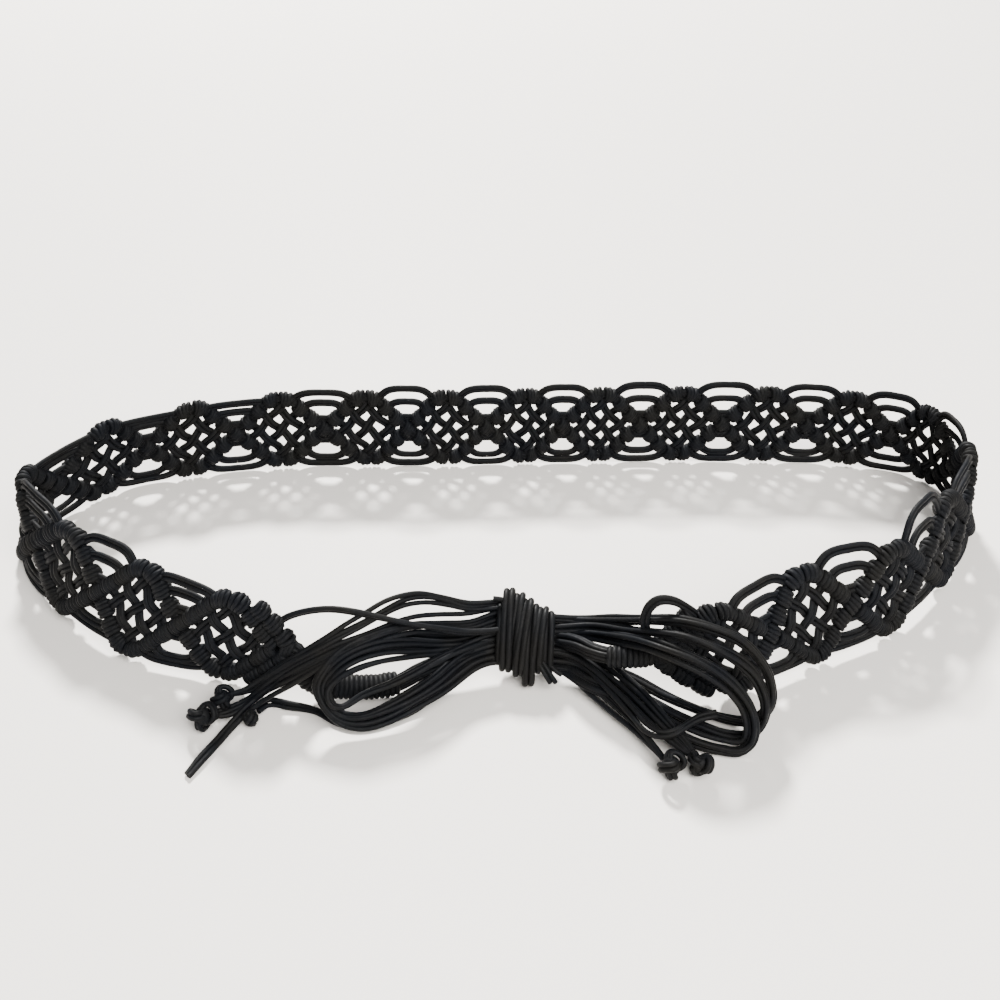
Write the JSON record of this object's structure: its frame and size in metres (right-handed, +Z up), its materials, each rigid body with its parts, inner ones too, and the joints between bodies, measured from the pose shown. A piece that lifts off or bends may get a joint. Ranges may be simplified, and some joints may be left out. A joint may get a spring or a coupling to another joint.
{
  "type": "macrame tie belt",
  "caption": "Narrow black macrame belt of knotted diamonds with open weave, standing on edge in an oval, its long cord ties folded and bound into a bow.",
  "frame": {"origin": "on the surface that the belt stands on, under the middle of the band's outline", "axes": "+X to the right along the loop's long way, +Y to the back, away from the tied bow, +Z up across the band"},
  "size_m": [0.4902, 0.2253, 0.0521],
  "materials": {
    "band_cord": "satin, waxed",
    "tie_cord": "satin, waxed"
  },
  "bodies": {
    "root": {"band_diamond_01": "band_cord", "band_diamond_02": "band_cord", "band_diamond_03": "band_cord", "band_diamond_04": "band_cord", "band_diamond_05": "band_cord", "band_diamond_06": "band_cord", "band_diamond_07": "band_cord", "band_diamond_08": "band_cord", "band_diamond_09": "band_cord", "band_diamond_10": "band_cord", "band_diamond_11": "band_cord", "band_diamond_12": "band_cord", "band_diamond_13": "band_cord", "band_diamond_14": "band_cord", "band_diamond_15": "band_cord", "band_diamond_16": "band_cord", "band_diamond_17": "band_cord", "band_diamond_18": "band_cord", "band_diamond_19": "band_cord", "band_diamond_20": "band_cord", "left_end_ridges": "band_cord", "right_end_ridges": "band_cord", "hank_core": "tie_cord", "hank_binding": "tie_cord", "hank_left_lobe": "tie_cord", "hank_right_lobe": "tie_cord", "left_tie_gather": "tie_cord", "left_tie_lead": "tie_cord", "right_tie_lead": "tie_cord", "left_tails": "tie_cord", "left_bare_end": "tie_cord", "left_tie_strand": "tie_cord", "right_tail_1": "tie_cord", "right_tail_2": "tie_cord", "right_bare_end": "tie_cord", "left_tie_wrap": "tie_cord", "right_tie_wrap": "tie_cord", "left_knot_1": "tie_cord", "left_knot_2": "tie_cord", "left_knot_3": "tie_cord", "right_knot_1": "tie_cord", "right_knot_2": "tie_cord"}
  },
  "joints": []
}
